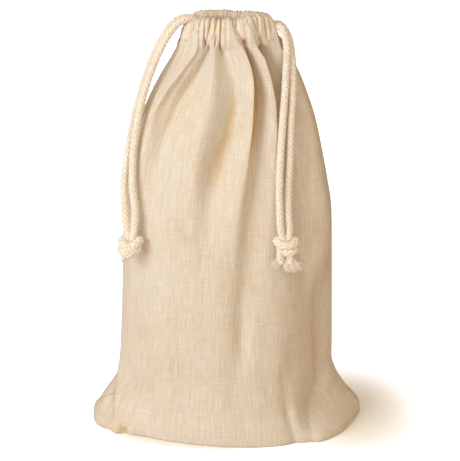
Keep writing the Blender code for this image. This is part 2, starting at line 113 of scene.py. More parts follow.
# A fold runs through its stations from the top down: its height (mm), its middle and its half
# widths to the left and right (degrees around the panel), its rise (mm, negative in a trough) and
# how far its crest leans over to the right (mm).
At = namedtuple("At", "height around left right rise lean", defaults=(0,))
FRONT_FOLDS = tuple(rows_of(At, fold) for fold in (
    # the broad fold at the left, with its sharp right edge and the trough beside it
    ((308, -48, 8, 6, 0.8), (290, -41, 10, 4, 2.6, 1.4), (270, -50, 12, 4.5, 5.4, 2.8),
     (257, -56.5, 12, 4.5, 6, 3), (243, -60, 12, 4.8, 5.4, 2.6), (226, -60, 12, 7, 4.4, 1.6),
     (200, -61, 13, 9, 2.8), (160, -64, 15, 14, 0.6), (130, -66, 15, 14, 0)),
    ((298, -29, 1.6, 2, -1), (286, -27, 2.6, 4, -4.4), (272, -33.5, 3, 9, -7),
     (255, -41.5, 3.8, 13, -8), (239, -44.5, 5, 15, -6.6), (219, -46.5, 6, 15, -4.6),
     (190, -48, 7, 15, -2.8), (160, -49, 8, 15, -1.2), (125, -49, 10, 15, 0)),
    # the light ridge left of the middle
    ((300, -20, 3, 2.4, 0.8), (289, -18, 3, 3.4, 2.6, 0.4), (279, -16, 4, 5, 3.6, 0.6),
     (266, -14.5, 7, 8, 4.4, 0.8), (250, -14.5, 9, 8, 4.8, 0.8), (230, -19, 9, 8, 4, 0.4),
     (205, -22, 10, 9, 2.8), (165, -25, 12, 10, 0.6), (135, -26, 12, 10, 0)),
    # the soft trough in the middle
    ((291, -11, 1, 2, -1.6), (284, -9, 2, 5, -3.8), (274, -2, 5, 5, -4), (262, 3.2, 8, 4, -6.6),
     (250, 4.2, 7.6, 5, -9.6), (241, 1.6, 7.2, 6.4, -10.8), (228, -1.6, 6.6, 8.6, -11),
     (211, -8, 6, 10, -10), (190, -10.4, 6.6, 10, -7), (160, -12, 8, 10, -3.2), (120, -15, 9, 10, 0)),
    # the broad pleat, whose right edge folds over the valley beside it
    ((308, 0, 6, 2.2, 1, 0.2), (295, 5, 6, 2, 3.2, 1.2), (285, 11, 7, 2, 6, 3.2),
     (269, 12.6, 6, 2, 8.4, 4.4), (253, 11, 6, 2, 8.8, 4.4), (234, 9.2, 7, 2.2, 7.8, 4),
     (216, 7.2, 9, 2.8, 6, 3), (192, 5, 11, 4, 3.8, 1.8), (172, 2.5, 14, 5, 2.6, 1),
     (144, -0.5, 15, 6, 1.9, 0.5), (107, -3, 16, 7, 1.2), (66, -4, 18, 9, 0)),
    ((302, 8, 1.4, 1.4, -1.2), (290, 16.5, 1.4, 1.3, -5), (279, 19.4, 1.3, 1.3, -6.6),
     (268, 19.8, 1.6, 2, -8.8), (253, 19.2, 2, 3.2, -11), (234, 17, 2.4, 4, -10.2),
     (216, 14, 3, 6.5, -7.8), (195, 12, 4, 8, -5.4), (165, 9.5, 5, 9, -4.4), (130, 7.5, 5, 8, -4),
     (100, 6, 4.4, 6, -4.8), (80, 5.6, 4, 5, -4.4), (62, 6, 4.4, 5, -1.8), (46, 6.5, 6, 6, 0)),
    # the next pleat to the right, and the deep valley behind the right cord
    ((306, 22, 4, 2.6, 1.2, 0.4), (292, 24, 4.6, 2, 4.4, 2), (278, 27, 5, 2, 7.4, 3.6),
     (266, 27, 6, 2, 7.6, 4), (254, 27, 7, 2.2, 7.2, 4), (239, 26.4, 7.5, 2.8, 5.4, 3.2),
     (219, 27, 7, 4, 2.4, 1.2), (190, 28, 7, 7, 0)),
    ((296, 38, 1.8, 3, -1.6), (289, 36, 2.4, 5, -6), (279, 35.5, 3, 9, -12.5), (262, 36, 3.4, 10, -14),
     (246, 35.5, 4, 11, -11.5), (228, 36, 5, 10, -6.5), (200, 39, 7, 10, -2), (168, 41, 8, 10, 0)),
    # the right side: a broad ridge, the band behind the cord and the slope down to the right ear
    ((300, 60, 5, 6, 1), (280, 62, 7, 8, 3.4), (250, 63, 9, 8, 3.8), (222, 61, 8, 9, 4.2),
     (190, 60, 8, 9, 4.4), (160, 60, 8, 9, 4.2), (132, 60, 8, 9, 3.2), (104, 62, 10, 9, 0)),
    ((230, 48, 5, 5, 0), (212, 47, 5, 5, -3), (197, 45, 5, 6, -3.6), (184, 42.5, 5, 7, -3.8),
     (161, 42, 6, 7, -3.6), (138, 44, 7, 7, -2.8), (110, 42, 9, 7, -1), (90, 40, 9, 7, 0)),
    ((150, 24, 14, 10, 0), (122, 29, 15, 10, 2.2), (95, 29, 15, 9, 3.4), (67, 25, 14, 9, 3.4),
     (45, 23, 12, 8, 2), (20, 22, 12, 8, 0.6)),
    ((140, 66, 14, 8, 0), (112, 66, 18, 8, -4.8), (84, 67, 21, 8, -7.2), (60, 68, 22, 8, -7.2),
     (46, 66, 22, 8, -6.4), (36, 60, 19, 6, -5.8), (26, 53, 16, 5, -5.2), (12, 46, 12, 5, -3.8),
     (4, 43, 9, 5, -2)),
    ((56, 82, 5, 8, 0), (46, 74, 5, 8, -0.9), (39, 65, 4.4, 8, -1.5), (32, 57.5, 4, 8, -2),
     (24, 52, 3.6, 8, -2.2), (14, 47.5, 3.4, 7, -2), (4, 44.5, 3, 6, -1.2)),
    ((70, 24, 3, 3, 0), (50, 28, 2.6, 3, -0.6), (34, 30, 2.4, 3, -1.1), (18, 32, 2.4, 2.6, -1.3),
     (3, 34.5, 2.4, 2.4, -0.8)),
    ((50, 35, 2.4, 3, 0), (36, 36, 2.4, 3, 0.5, 0.2), (18, 37, 2.4, 2.8, 0.9, 0.3),
     (3, 38, 2.2, 2.6, 0.6, 0.2)),
    # the left corner: the panel's fold stands over the ear behind it
    ((66, -84, 5, 9, 0), (46, -80, 3, 12, 2.2, -1.8), (33, -71, 2, 13, 3.8, -3.6),
     (25, -65, 1.8, 12, 4.6, -4.2), (16, -62, 1.8, 11, 4.6, -4.2), (4, -61, 2, 9, 2.8, -2.4)),
    ((44, -87, 4, 2.8, 0), (33, -79, 5, 3, -2.2), (25, -73.2, 6, 3, -2.8), (16, -69.6, 6, 3, -2.8),
     (4, -68.5, 4, 3, -1.6)),
))
BACK_FOLDS = tuple(rows_of(At, fold) for fold in (
    ((300, -55, 6, 6, 1), (285, -56, 8, 6, 3.6, 1), (250, -58, 11, 6, 5, 2), (200, -56, 14, 9, 2.6),
     (140, -54, 16, 16, 0)),
    ((298, -40, 2, 2, -1.2), (284, -41, 2.6, 4, -5.4), (258, -43, 4, 7, -8), (225, -42, 5, 9, -5.6),
     (180, -38, 8, 10, -2.4), (120, -37, 10, 10, 0)),
    ((304, -20, 6, 4, 1.2), (285, -20, 9, 3.4, 5, 2), (255, -16, 11, 3, 6.6, 3.4),
     (215, -14, 12, 4.4, 4.4, 2), (160, -15, 14, 8, 1.6), (100, -15, 14, 16, 0)),
    ((300, -6, 2, 2, -1), (284, -6, 2.4, 3, -5.4), (255, -4.5, 3, 4, -7.4), (215, -3.5, 4.4, 6, -5),
     (150, 1, 8, 9, -1), (110, 2, 8, 9, 0)),
    ((304, 12, 5, 4, 1), (285, 15, 7, 3, 4.4, 1.8), (250, 20, 9, 3.4, 6, 3), (205, 22, 11, 6, 3.4, 1),
     (150, 22, 12, 12, 1), (85, 22, 14, 14, 0)),
    ((299, 29, 2, 2, -1.2), (284, 31, 2.4, 4, -5.6), (255, 34, 3, 7, -8), (220, 36, 5, 8, -5.6),
     (165, 38, 8, 9, -2), (110, 38, 9, 9, 0)),
    ((302, 50, 6, 6, 1), (285, 51, 8, 8, 3), (250, 54, 10, 10, 4, 1), (200, 56, 12, 12, 2),
     (130, 57, 14, 14, 0)),
    ((80, -64, 6, 6, 0), (55, -58, 6, 6, -3), (30, -50, 5, 6, -5), (4, -44, 5, 6, -2)),
    ((85, 66, 6, 6, 0), (55, 60, 6, 5, -3.4), (28, 52, 6, 5, -5.4), (4, 46, 6, 5, -2)),
))
# Slits between the casing's small pleats: their middle and height at the top and at the bottom, the
# half width (degrees) and the depth (mm).
Slit = namedtuple("Slit", "top start bottom end width depth")
FRONT_SLITS = rows_of(Slit, (
    (-62, 303, -61, 294, 1.8, 1.6), (-53, 305, -53.5, 291, 1.8, 2.6), (-43, 306, -47, 298, 1.2, 1.6),
    (-36.5, 304, -44, 297, 1.1, 2.4), (-31, 302, -29.8, 287, 1.1, 3.4), (-22, 307, -26.8, 290, 1, 3.6),
    (-14.7, 304, -20.6, 292, 0.9, 2.8), (-15, 294, -17.2, 287, 0.9, 2.8),
    (-8.7, 307, -11.1, 286, 1, 3.8), (-6.8, 302, -4, 292, 0.8, 2.4), (3.9, 307, 9.2, 296, 1, 3.2),
    (9.2, 298, 17, 288, 1.2, 4.6), (8.6, 306, 10.4, 301, 0.9, 2.4), (18.6, 307, 22.4, 301, 0.9, 2.4),
    (27.7, 307, 33.9, 294, 1.1, 3.8), (33.9, 296, 38, 286, 1.3, 4), (33.4, 306, 34, 296, 0.9, 2.8),
    (43.5, 306, 44.4, 293, 1.3, 4), (52.5, 306, 53.5, 297, 1.4, 2.6), (61, 304, 60, 293, 1.6, 2),
))
# Dents: their middle (degrees, mm), half width (degrees), half height (mm) and depth (mm).
Dent = namedtuple("Dent", "around height wide tall depth")
FRONT_DENTS = rows_of(Dent, (
    (-58, 289, 5, 1.7, 3.4), (-29.6, 289, 1.8, 2.4, 5), (-24.5, 286, 1.5, 3.4, 4.4),
    (-11, 287, 1.5, 2.4, 4.6), (17.4, 290, 1.9, 2.4, 6.4), (34, 293, 1.6, 3, 4),
    (44.6, 294, 1.8, 2.6, 3.6), (54, 297, 3, 3, 2.8), (50, 289, 5, 1.2, 1.6), (-56.4, 3, 1.7, 3, 5),
    (-54.2, 6.6, 1.2, 3, 1.4),
))
# How far the casing's crest has dropped (mm) at these places around each panel (degrees).
Drop = namedtuple("Drop", "around fall")
SHOULDERS = {
    FRONT: rows_of(Drop, (
        (-90, 19.6), (-82, 18.6), (-75, 11.5), (-66, 7.0), (-56, 4.2), (-44, 2.0), (-32, 1.4),
        (-15, 2.2), (10, 2.0), (22, 0.8), (34, 0.0), (44, 0.2), (56, 1.2), (62, 3.4), (68, 12.0),
        (74, 17.4), (83, 18.8), (90, 19.6),
    )),
    BACK: rows_of(Drop, (
        (-90, 19.6), (-82, 18.6), (-75, 12.0), (-66, 7.4), (-56, 4.0), (-44, 1.4), (-30, 0.2),
        (-5, 0.4), (12, 1.8), (22, 1.6), (32, 1.0), (44, 2.0), (56, 3.0), (62, 5.2), (68, 12.6),
        (74, 17.6), (83, 18.8), (90, 19.6),
    )),
}
HIGHEST = 20.5 * MM  # the crest over the stitches
OPEN_ENDS = 84.0  # the channels are open from here to the seams (degrees)

CASING_STEP = 6 * MM  # height over which the wall gives way to the casing
FOLDS_FADE, PLEATS_SINK = 5 * MM, 3 * MM  # how far under the stitches each starts
# The share of the folds' rise that the casing takes away, and the shares of their depth that slits
# and dents keep.
FOLDS_PRESSED, SLITS_KEPT, DENTS_KEPT = 0.68, 0.70, 0.8
PLEAT_LIFT = 1.6 * MM  # how far the cords hold the casing out
CREST_RISE = 0.6  # how far a pleat's crest stands up, as a share of how far it stands out
SEAM_CALM = 12.0  # degrees from a seam within which the relief fades
CORD_STEP = 5 * MM  # height over which the cords come to hold the cloth out
DEEPEST_ON_CORDS, DEEPER = 1.0 * MM, 11 * MM  # how far in over the cords, and past that below them
# The ears show less of the painted fold shade: from here, over this much (degrees), up to a height, by a
# share.
EAR_FROM, EAR_OVER, EAR_TOP, EAR_CALM = 58, 8, 3 * FULL_EAR, 0.85


def column(table, name):
    return np.array([getattr(row, name) for row in table], float)


def smooth_between(at, marks, values):
    """The values at the marks, joined by a curve that has no overshoot (a monotone cubic)."""
    steps = np.diff(marks)
    slopes = np.diff(values) / steps
    tangents = np.zeros(len(marks))
    inner = slopes[:-1] * slopes[1:] > 0
    tangents[1:-1][inner] = 2 * (slopes[:-1] * slopes[1:])[inner] / (slopes[:-1] + slopes[1:])[inner]
    tangents[0], tangents[-1] = slopes[0], slopes[-1]
    index = np.clip(np.searchsorted(marks, at) - 1, 0, len(steps) - 1)
    t = np.clip((at - marks[index]) / steps[index], 0.0, 1.0)
    start, end = values[index], values[index + 1]
    return (
        start * (1 + 2 * t) * (1 - t) ** 2
        + end * t * t * (3 - 2 * t)
        + steps[index] * (tangents[index] * t * (1 - t) ** 2 - tangents[index + 1] * t * t * (1 - t))
    )


def curve(table, at, mark, name):
    return smooth_between(at, column(table, mark), column(table, name))


def section_at(height, name):
    value = curve(SECTIONS, height / MM, "height", name)
    return value if name in SHARES else value * MM


def ease(share):
    """0 to 1 with a soft start and end."""
    share = np.clip(share, 0.0, 1.0)
    return share * share * (3 - 2 * share)


def bell(off):
    return np.exp(-(off**2))


def outline(around, height, side):
    """The bag's plan without its folds, as x and y."""
    turn = np.radians(around)
    across = np.sin(turn)
    reach = np.where(across < 0, section_at(height, "left"), section_at(height, "right"))
    past_root = np.clip((np.abs(across) - EAR_ROOT) / (1 - EAR_ROOT), 0.0, 1.0)
    ear = section_at(height, "ear") * past_root**EAR_CURVE
    drawn_in = 1 - section_at(height, "pinch") * ease(past_root * 1.5)
    forward = np.clip(np.cos(turn), 0.0, 1.0) ** (1 - section_at(height, "square"))
    x = reach * across + np.sign(across) * ear
    fuller = 1 + section_at(height, "skew") * across if side == FRONT else BACK_FULLNESS
    depth = section_at(height, "depth") * forward * drawn_in * fuller
    if side == FRONT:
        corner = curve(CORNERS, around, "around", "share")
        depth = depth * (1 + section_at(height, "ear") / FULL_EAR * corner)
    y = side * depth
    return np.stack([x, y], axis=-1)


def run_along(path):
    """How far along a path each of its points lies."""
    return np.concatenate([[0], np.cumsum(np.linalg.norm(np.diff(path, axis=0), axis=-1))])


def unit(vectors):
    return vectors / np.maximum(np.linalg.norm(vectors, axis=-1, keepdims=True), 1e-12)


def outward(around, height, side):
    """The unit normal of that plan."""
    along = outline(around + 0.5, height, side) - outline(around - 0.5, height, side)
    normal = np.stack([along[..., 1], -along[..., 0]], axis=-1) * -side
    at_seam = np.broadcast_to(np.abs(around) > 89.9, normal.shape[:-1])
    straight = np.stack([np.sign(around) + 0 * height, 0 * around + 0 * height], axis=-1)
    return unit(np.where(at_seam[..., None], straight, normal))


def station(fold, height, name):
    """One of a fold's values at these heights (mm)."""
    return curve(fold[::-1], np.clip(height, fold[-1].height, fold[0].height), "height", name)


def fold_shape(fold, around, height):
    """The fold's rise and its lean to the right, in metres."""
    height = height / MM
    off = around - station(fold, height, "around")
    width = np.where(off < 0, station(fold, height, "left"), station(fold, height, "right"))
    share = bell(off / width) * MM
    return station(fold, height, "rise") * share, station(fold, height, "lean") * share


def slit_rise(slit, around, height):
    """A slit that is shallow at its top, deepest in the middle and closed below its end."""
    down = (slit.start - height / MM) / (slit.start - slit.end)
    middle = slit.top + (slit.bottom - slit.top) * np.clip(down, 0.0, 1.0)
    strength = slit.depth * MM * ease((1.15 - down) * 4) * (0.35 + 0.65 * ease(down * 2 + 0.6))
    return -strength * bell((around - middle) / slit.width)


def dent_rise(dent, around, height):
    across = bell((around - dent.around) / dent.wide)
    return -dent.depth * MM * across * bell((height / MM - dent.height) / dent.tall)


Pleat = namedtuple("Pleat", "around width rise lean low top")
Ripple = namedtuple("Ripple", "across up height spread size phase")
Dimple = namedtuple("Dimple", "around height wide tall tilt rise")


# The least and the most between two small pleats (degrees), and the most that one rises (mm).
PLEAT_SPACING = {FRONT: (5.0, 9.0, 0.6), BACK: (2.4, 4.4, 1.5)}
LAST_PLEAT = 82.0  # degrees from the middle
FULL_PLEATS = 291  # height (mm) from which they have their full rise
RIPPLE_COUNT, DIMPLE_COUNT = 28, 20


def seeded_pleats(side):
    """Small uneven pleats along the channel, each from its lowest height up."""
    closest, widest, most = PLEAT_SPACING[side]
    pleats, around = [], -LAST_PLEAT
    while around < LAST_PLEAT:
        pleats.append(Pleat(around, rng.uniform(0.9, 1.5), rng.uniform(0.4, most), rng.uniform(-1.2, 1.2),
                            rng.uniform(266, 284), rng.uniform(-0.5, 0.8)))
        around += rng.uniform(closest, widest)
    return pleats


def seeded_ripples():
    return [
        Ripple(rng.uniform(0.10, 0.55), rng.uniform(6, 30), rng.uniform(60, 280) * MM,
               rng.uniform(30, 80) * MM, rng.uniform(0.05, 0.15) * MM, rng.uniform(0, math.tau))
        for _ in range(RIPPLE_COUNT)
    ]


def seeded_dimples():
    return [
        Dimple(rng.uniform(-80, 80), rng.uniform(15, 240) * MM, rng.uniform(4, 14),
               rng.uniform(14, 50) * MM, rng.uniform(-0.12, 0.12) / MM, rng.uniform(-0.8, 0.8) * MM)
        for _ in range(DIMPLE_COUNT)
    ]


PLEATS = {side: seeded_pleats(side) for side in (FRONT, BACK)}
RIPPLES = {side: seeded_ripples() for side in (FRONT, BACK)}
DIMPLES = {side: seeded_dimples() for side in (FRONT, BACK)}


def pleat_shape(pleats, around, height):
    """The small pleats' rise and lean, and how much they lift the crest."""
    rise, lean, crest = 0.0, 0.0, 0.0
    for pleat in pleats:
        strength = MM * ease((height / MM - pleat.low) / (FULL_PLEATS - pleat.low))
        bump = strength * bell((around - pleat.around) / pleat.width)
        rise, lean = rise + bump * pleat.rise, lean + bump * pleat.lean
        crest = crest + bump * pleat.top
    return rise, lean, crest


def wrinkles(around, height, side):
    """Small uneven ripples that run up the cloth, and a few soft dents."""
    total = 0.0
    for ripple in RIPPLES[side]:
        fade = bell((height - ripple.height) / ripple.spread)
        wave = np.sin(ripple.across * around + ripple.up * height + ripple.phase)
        total = total + ripple.size / (0.4 + ripple.across) * fade * wave
    for dimple in DIMPLES[side]:
        off = (around - dimple.around + dimple.tilt * (height - dimple.height)) / dimple.wide
        total = total + dimple.rise * bell(off) * bell((height - dimple.height) / dimple.tall)
    return total


def in_casing(level, below):
    """0 to 1 where the casing begins, from this far below its stitches."""
    return ease((level - STITCH + below) / CASING_STEP)


def relief(around, level, side):
    """How far the cloth stands off the plain plan, how far it leans and how much its crest rises."""
    rise, lean = wrinkles(around, level, side), 0.0
    for fold in FRONT_FOLDS if side == FRONT else BACK_FOLDS:
        up, over = fold_shape(fold, around, level)
        rise, lean = rise + up, lean + over
    casing = in_casing(level, FOLDS_FADE)
    rise = rise * (1 - FOLDS_PRESSED * casing)
    up, over, crest = pleat_shape(PLEATS[side], around, level)
    rise, lean = rise + up, lean + over
    if side == FRONT:
        rise = rise + SLITS_KEPT * sum(slit_rise(slit, around, level) for slit in FRONT_SLITS)
        rise = rise + DENTS_KEPT * sum(dent_rise(dent, around, level) for dent in FRONT_DENTS)
    calm = ease((90 - np.abs(around)) / SEAM_CALM)
    rise = (rise + PLEAT_LIFT * casing) * calm
    lowest = -DEEPEST_ON_CORDS - DEEPER * (1 - ease((level - STITCH) / CORD_STEP))
    return np.maximum(rise, lowest), lean * calm, crest * calm


# --- Cloth ---

COLUMNS = 300
# The columns' even places (shares of a half panel) and where they lie: closer together in the middle.
EVEN_PLACES, COLUMN_PLACES = (0, 0.82, 1), (0, 0.68, 1)
SEAM_GAP = 0.02 * MM  # from the seam's plane to each panel
FOLD_SHADE_REACH = 5  # columns to each side of a narrow fold, over which its painted shade is judged
# How deep a fold is where its painted shade begins and how much deeper it is where that shade is full.
NARROW_FROM, NARROW, DEEP_FROM, DEEP = 0.4 * MM, 2.4 * MM, 6.0 * MM, 7.5 * MM
EVEN_ROWS = 14  # rows above and below over which the map is evened out

# A panel is a run of rows from the base seam up and over. Share is how far a base row lies from the
# seam towards the base's edge, inset is how far a row lies inside the wall, and tilt is the way that
# the cloth's outer face looks there: -90 down, 0 outwards, 90 up and 180 inwards.
Row = namedtuple("Row", "height share inset tilt")
BASE_SHARES = np.linspace(0, 0.94, 6)
FOOT_TILTS = (-90, -60, -30)
CREST_TILTS = np.linspace(0, 180, 11)
# The wall's rows: from, to and step (mm), closer at the floor and in the gathers.
WALL_RUNS = ((2.4, 40, 2.2), (40, 220, 3.4), (220, 276, 2.2), (276, 302.5, 1.15))
TURNED_IN = (300, 296.8, 293.6, 290.5)  # heights (mm) of the rows down to the hem


def lean_in(height):
    return CHANNEL_LEAN * np.clip(height - STITCH, 0.0, UPPER_CORD - STITCH)


def panel_rows():
    """The sheet's rows from the base seam, up the wall, over the channel and down to the hem."""
    rows = [Row(0.0, share, FOOT, -90.0) for share in BASE_SHARES]
    for tilt in FOOT_TILTS:
        turn = math.radians(tilt)
        rows.append(Row(FOOT * (1 + math.sin(turn)), 1.0, FOOT * (1 - math.cos(turn)), tilt))
    walls = np.concatenate([np.arange(*run) for run in WALL_RUNS])
    rows += [Row(height * MM, 1.0, 0.0, 0.0) for height in walls]
    for tilt in CREST_TILTS:
        turn = math.radians(tilt)
        height = UPPER_CORD + CREST_RADIUS * math.sin(turn)
        rows.append(Row(height, 1.0, CREST_RADIUS * (1 - math.cos(turn)), tilt))
    return rows + [Row(height * MM, 1.0, 2 * CREST_RADIUS, 180.0) for height in TURNED_IN]


def panel_columns():
    """The sheet's columns, closer together where the folds are."""
    even = np.linspace(-1.0, 1.0, COLUMNS + 1)
    return 90.0 * np.sign(even) * np.interp(np.abs(even), EVEN_PLACES, COLUMN_PLACES)


def panel_grid(side, around=None, rows=None):
    """The sheet's outer face as a grid of points, its rows, and how much painted fold shade each point
    gets.
    """
    around = panel_columns()[None, :] if around is None else around
    rows = rows or panel_rows()
    height = column(rows, "height")[:, None]
    turn = np.radians(column(rows, "tilt"))[:, None]
    share = column(rows, "share")[:, None]
    level = np.where(turn > 0, UPPER_CORD, height)
    normal = outward(around, height, side)
    tangent = np.stack([normal[..., 1] * side, -normal[..., 0] * side], axis=-1)
    rise, lean, crest = relief(around, level, side)
    stands = 1 - curve(SHOULDERS[side], around, "around", "fall") * MM / HIGHEST
    rise = rise * (1 - in_casing(level, PLEATS_SINK) * (1 - stands))
    over_crest = np.where(turn > 0, (1 - np.cos(turn)) / 2, 0.0)
    wave = rise * (1 - 2 * over_crest)
    in_channel = column(rows, "inset")[:, None] * np.where(turn > 0, stands, 1.0)
    inset = in_channel + lean_in(height) * stands
    plan = outline(around, height, side) + normal * (wave - inset)[..., None]
    plan = plan + tangent * (lean * (1 - over_crest))[..., None]
    y = plan[..., 1] * share
    y = side * np.maximum(side * y, SEAM_GAP)
    z = height + (CREST_RISE * rise - PLEAT_LIFT + crest) * np.maximum(0.0, np.sin(turn)) * (turn > 0)
    z = np.where(z > STITCH, STITCH + (z - STITCH) * stands, z)
    ears = ease((np.abs(around) - EAR_FROM) / EAR_OVER) * (height < EAR_TOP)
    return np.stack([plan[..., 0], y, z], axis=-1), rows, fold_shade_shares(rise) * (1 - EAR_CALM * ears)


def fold_shade_shares(rise):
    """Painted shade by how far each point lies in a deep or narrow fold: 0 on open cloth, 1 at its
    bottom.
    """
    steps = range(1, FOLD_SHADE_REACH + 1)
    sides = [[np.roll(rise, way * step, axis=1) for step in steps] for way in (-1, 1)]
    narrow = np.minimum(*(np.max(side, axis=0) for side in sides)) - rise
    shares = np.maximum((narrow - NARROW_FROM) / NARROW, (-rise - DEEP_FROM) / DEEP)
    return np.clip(shares, 0.0, 1.0)


def evened(shares, rows):
    """Each row's shares of the way across, evened out with those of the rows near it."""
    first_wall = next(number for number, row in enumerate(rows) if row.tilt == 0)
    shares = shares.copy()
    shares[:first_wall] = shares[first_wall]
    first, last = (end.repeat(EVEN_ROWS, axis=0) for end in (shares[:1], shares[-1:]))
    padded = np.concatenate([first, shares, last])
    return np.mean([padded[step : step + len(shares)] for step in range(2 * EVEN_ROWS + 1)], axis=0)


def cloth_object(name, grid, rows, depth, material):
    """The sheet as a closed mesh, with a map in the cloth's own metres."""
    count_rows, count_columns = grid.shape[:2]
    number = np.arange(count_rows * count_columns).reshape(count_rows, count_columns)
    around = panel_columns()
    corners = []
    across = np.array([run_along(row) for row in grid])
    across = (evened(across / across[:, -1:], rows) - 0.5) * FLAT[0]
    up = run_along(grid[:, count_columns // 2])
    for row in range(count_rows - 1):
        in_channel = rows[row].height > STITCH or rows[row].tilt > 0
        for col in range(count_columns - 1):
            if in_channel and np.abs(around[col : col + 2]).max() > OPEN_ENDS:
                continue
            corners.extend(((row, col), (row, col + 1), (row + 1, col + 1), (row + 1, col)))
    where = np.array(corners)
    quads = number[where[:, 0], where[:, 1]].reshape(-1, 4)
    data = bpy.data.meshes.new(name)
    data.from_pydata(grid.reshape(-1, 3).tolist(), [], quads.tolist())
    if name.startswith("back"):
        data.flip_normals()
    # painted shade: each point's share of the amber shade that the cloth's material paints into deep and
    # narrow folds
    painted_fold_shade = data.attributes.new("painted_fold_shade", "FLOAT", "POINT")
    painted_fold_shade.data.foreach_set("value", depth.astype(np.float32).ravel())
    uv = data.uv_layers.new(name="cloth")
    values = np.column_stack([across[where[:, 0], where[:, 1]], up[where[:, 0]]])
    if name.startswith("back"):
        values = values.reshape(-1, 4, 2)[:, [0, 3, 2, 1]].reshape(-1, 2)
    uv.data.foreach_set("uv", values.astype(np.float32).ravel())
    data.materials.append(material)
    data.validate()
    data.polygons.foreach_set("use_smooth", [True] * len(data.polygons))
    piece = add_object(name, data)
    thick = piece.modifiers.new("thickness", "SOLIDIFY")
    thick.thickness = CLOTH
    thick.offset = -1
    return piece


# --- Cords ---

LEFT_FRONT_STRAND = (
    (-28, -3.6, 303.4), (-35, -5.4, 300), (-43.3, -9, 289.5), (-51, -13, 274), (-57.8, -17.5, 256),
    (-62.8, -21.5, 237), (-66.2, -25, 216), (-67.3, -28.5, 193), (-66, -31.5, 175),
    (-66.6, -33.5, 163),
)
LEFT_BACK_STRAND = (
    (-28.5, 3, 303.6), (-36, 2, 301), (-44.6, -2, 290.5), (-52.8, -5.5, 274.5), (-59.5, -9.5, 256),
    (-65.3, -13.5, 237), (-69.5, -17.5, 216), (-73.3, -22, 193), (-73.2, -27.5, 175),
    (-72.2, -32.5, 163),
)
RIGHT_FRONT_STRAND = (
    (33, -4, 298), (37.4, -8.5, 297), (40.2, -15, 287), (39.2, -23, 272), (37.7, -31, 255),
    (35.8, -38, 236), (33.9, -45, 214), (33.1, -49, 193), (33.4, -52, 176), (34.3, -53.2, 165),
)
RIGHT_BACK_STRAND = (
    (33, 3, 298.2), (38, 0.6, 297.8), (42.8, -8, 289), (44, -19, 273), (43.4, -28.2, 254),
    (41.8, -35.5, 235), (40.8, -42, 213), (39.6, -45.5, 192), (39.5, -49.5, 176), (40.1, -51.5, 165),
)
LEFT_KNOT = Vector((-70, -34, 150.5)) * MM
RIGHT_KNOT = Vector((37.7, -52.6, 153)) * MM
TURN_STEP = 9.0  # degrees between a cord's places in the channels
FIRST_TURN, SWEEP = 72, 324  # where a cord goes in, and how far round (degrees)
# Inside the channels the gathers press each cord thinner (a share) and down, under the crest.
CHANNEL_SHARE = 0.66
CHANNEL_SAG = 1.2 * MM
# Painted shade of the seam's crease on the left ear: its places around the front panel (degrees) and
# heights (mm).
LEFT_SEAM = ((-88, 14.9), (-85.8, 17.2), (-80.5, 20.5), (-76.2, 22.6), (-72.0, 24.6))
SEAM_RADIUS = 0.34 * MM

# A cord is a round braid: as many strands turn each way round its core, each over one and under one.
STRANDS = 4
LAY = 14.4 * MM  # a strand's run along the cord in one turn
CORE_RADIUS = 1.75 * MM
STRAND_RADIUS = 2.02 * MM  # from the cord's middle line to a strand's
STRAND_WIDE, STRAND_THICK = 1.10 * MM, 0.58 * MM
WEAVE = 0.17 * MM  # how far a strand goes in and out
KNOT_SPACING, HIDDEN_SPACING = 0.6 * MM, 1.5 * MM  # of a braid's rings in the knots and the channels
CURL_RADIUS = 0.42 * MM
STRAND_FUZZ, WRAP_FUZZ, TAIL_FUZZ = 900, 160, 120  # loose fibres on each
LONGEST_FUZZ = 1.3 * MM


def channel_line(turn, height):
    """The cords' middle line inside the channels: turn is 0 in front, 90 right, 180 behind."""
    turn = (turn + 180) % 360 - 180
    side = FRONT if abs(turn) <= 90 else BACK
    around = np.array([turn if side == FRONT else math.copysign(180 - abs(turn), turn)])
    inset = CREST_RADIUS + lean_in(height)
    plan = outline(around, STITCH, side) - outward(around, STITCH, side) * inset
    return Vector((*plan[0], height))


def smooth_path(points, spacing):
    """Points about this far apart on a smooth curve through the given ones (Catmull-Rom)."""
    points = [Vector(point) for point in points]
    ends = [2 * points[0] - points[1], *points, 2 * points[-1] - points[-2]]
    path = []
    for before, start, end, after in zip(ends, ends[1:], ends[2:], ends[3:]):
        steps = max(1, round((end - start).length / spacing))
        for step in range(steps):
            t = step / steps
            path.append(
                0.5 * (2 * start + (end - before) * t
                       + (2 * before - 5 * start + 4 * end - after) * t * t
                       + (3 * start - before - 3 * end + after) * t * t * t)
            )
    return np.array(path + [points[-1]])


def frames_along(path):
    """Two directions across a path that turn with it as little as they can."""
    forward = unit(np.gradient(path, axis=0))
    side = np.cross(forward[0], (0.13, 1.0, 0.3))
    sides = []
    for ahead in forward:
        side = unit(side - ahead * (side @ ahead))
        sides.append(side)
    sides = np.array(sides)
    return sides, np.cross(forward, sides)


